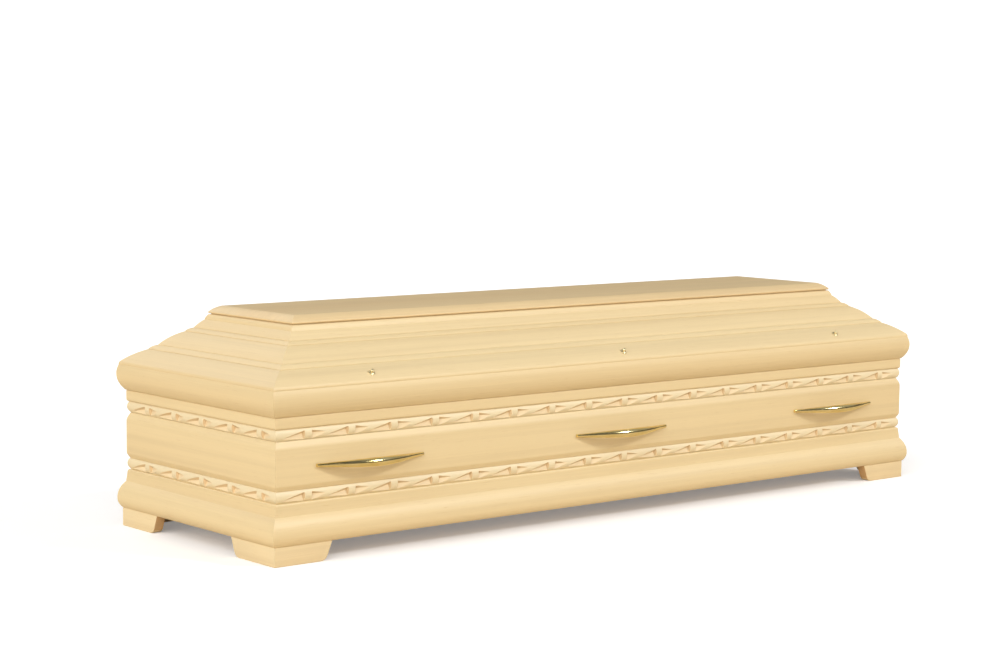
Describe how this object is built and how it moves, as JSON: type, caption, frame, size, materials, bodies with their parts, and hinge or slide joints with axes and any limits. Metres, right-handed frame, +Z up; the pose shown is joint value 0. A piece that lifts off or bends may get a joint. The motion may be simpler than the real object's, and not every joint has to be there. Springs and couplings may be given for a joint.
{
  "type": "wooden coffin",
  "caption": "Rectangular solid-wood coffin with a moulded sloping lid under a flat top board, carved beads, bow handles, lid screws and bracket feet.",
  "frame": {"origin": "on the floor under the middle of the coffin, at the height of the feet's undersides", "axes": "+X along the coffin's length, -Y out of the front long side, +Z up"},
  "size_m": [2.033, 0.707, 0.5186],
  "materials": {
    "base_floor_board": "clear satin lacquer on pale fine-grained solid wood",
    "base_wall_back": "clear satin lacquer on pale fine-grained solid wood",
    "base_wall_front": "clear satin lacquer on pale fine-grained solid wood",
    "base_wall_left": "clear satin lacquer on pale fine-grained solid wood",
    "base_wall_right": "clear satin lacquer on pale fine-grained solid wood",
    "carved_bead_lower_back": "clear satin lacquer on pale fine-grained solid wood",
    "carved_bead_lower_front": "clear satin lacquer on pale fine-grained solid wood",
    "carved_bead_lower_left": "clear satin lacquer on pale fine-grained solid wood",
    "carved_bead_lower_right": "clear satin lacquer on pale fine-grained solid wood",
    "carved_bead_upper_back": "clear satin lacquer on pale fine-grained solid wood",
    "carved_bead_upper_front": "clear satin lacquer on pale fine-grained solid wood",
    "carved_bead_upper_left": "clear satin lacquer on pale fine-grained solid wood",
    "carved_bead_upper_right": "clear satin lacquer on pale fine-grained solid wood",
    "foot_back_left_end_board": "clear satin lacquer on pale fine-grained solid wood",
    "foot_back_left_long_board": "clear satin lacquer on pale fine-grained solid wood",
    "foot_back_right_end_board": "clear satin lacquer on pale fine-grained solid wood",
    "foot_back_right_long_board": "clear satin lacquer on pale fine-grained solid wood",
    "foot_front_left_end_board": "clear satin lacquer on pale fine-grained solid wood",
    "foot_front_left_long_board": "clear satin lacquer on pale fine-grained solid wood",
    "foot_front_right_end_board": "clear satin lacquer on pale fine-grained solid wood",
    "foot_front_right_long_board": "clear satin lacquer on pale fine-grained solid wood",
    "handle_back_1": "polished brass",
    "handle_back_2": "polished brass",
    "handle_back_3": "polished brass",
    "handle_front_1": "polished brass",
    "handle_front_2": "polished brass",
    "handle_front_3": "polished brass",
    "lid_rim_back": "clear satin lacquer on pale fine-grained solid wood",
    "lid_rim_front": "clear satin lacquer on pale fine-grained solid wood",
    "lid_rim_left": "clear satin lacquer on pale fine-grained solid wood",
    "lid_rim_right": "clear satin lacquer on pale fine-grained solid wood",
    "lid_screw_back_1": "polished brass",
    "lid_screw_back_2": "polished brass",
    "lid_screw_back_3": "polished brass",
    "lid_screw_front_1": "polished brass",
    "lid_screw_front_2": "polished brass",
    "lid_screw_front_3": "polished brass",
    "lid_slope_back": "clear satin lacquer on pale fine-grained solid wood",
    "lid_slope_front": "clear satin lacquer on pale fine-grained solid wood",
    "lid_slope_left": "clear satin lacquer on pale fine-grained solid wood",
    "lid_slope_right": "clear satin lacquer on pale fine-grained solid wood",
    "lid_top_board": "clear satin lacquer on pale fine-grained solid wood",
    "plinth_moulding_back": "clear satin lacquer on pale fine-grained solid wood",
    "plinth_moulding_front": "clear satin lacquer on pale fine-grained solid wood",
    "plinth_moulding_left": "clear satin lacquer on pale fine-grained solid wood",
    "plinth_moulding_right": "clear satin lacquer on pale fine-grained solid wood"
  },
  "bodies": {
    "root": {"base_floor_board": "base_floor_board", "base_wall_back": "base_wall_back", "base_wall_front": "base_wall_front", "base_wall_left": "base_wall_left", "base_wall_right": "base_wall_right", "carved_bead_lower_back": "carved_bead_lower_back", "carved_bead_lower_front": "carved_bead_lower_front", "carved_bead_lower_left": "carved_bead_lower_left", "carved_bead_lower_right": "carved_bead_lower_right", "carved_bead_upper_back": "carved_bead_upper_back", "carved_bead_upper_front": "carved_bead_upper_front", "carved_bead_upper_left": "carved_bead_upper_left", "carved_bead_upper_right": "carved_bead_upper_right", "foot_back_left_end_board": "foot_back_left_end_board", "foot_back_left_long_board": "foot_back_left_long_board", "foot_back_right_end_board": "foot_back_right_end_board", "foot_back_right_long_board": "foot_back_right_long_board", "foot_front_left_end_board": "foot_front_left_end_board", "foot_front_left_long_board": "foot_front_left_long_board", "foot_front_right_end_board": "foot_front_right_end_board", "foot_front_right_long_board": "foot_front_right_long_board", "handle_back_1": "handle_back_1", "handle_back_2": "handle_back_2", "handle_back_3": "handle_back_3", "handle_front_1": "handle_front_1", "handle_front_2": "handle_front_2", "handle_front_3": "handle_front_3", "lid_rim_back": "lid_rim_back", "lid_rim_front": "lid_rim_front", "lid_rim_left": "lid_rim_left", "lid_rim_right": "lid_rim_right", "lid_screw_back_1": "lid_screw_back_1", "lid_screw_back_2": "lid_screw_back_2", "lid_screw_back_3": "lid_screw_back_3", "lid_screw_front_1": "lid_screw_front_1", "lid_screw_front_2": "lid_screw_front_2", "lid_screw_front_3": "lid_screw_front_3", "lid_slope_back": "lid_slope_back", "lid_slope_front": "lid_slope_front", "lid_slope_left": "lid_slope_left", "lid_slope_right": "lid_slope_right", "lid_top_board": "lid_top_board", "plinth_moulding_back": "plinth_moulding_back", "plinth_moulding_front": "plinth_moulding_front", "plinth_moulding_left": "plinth_moulding_left", "plinth_moulding_right": "plinth_moulding_right"}
  },
  "joints": []
}
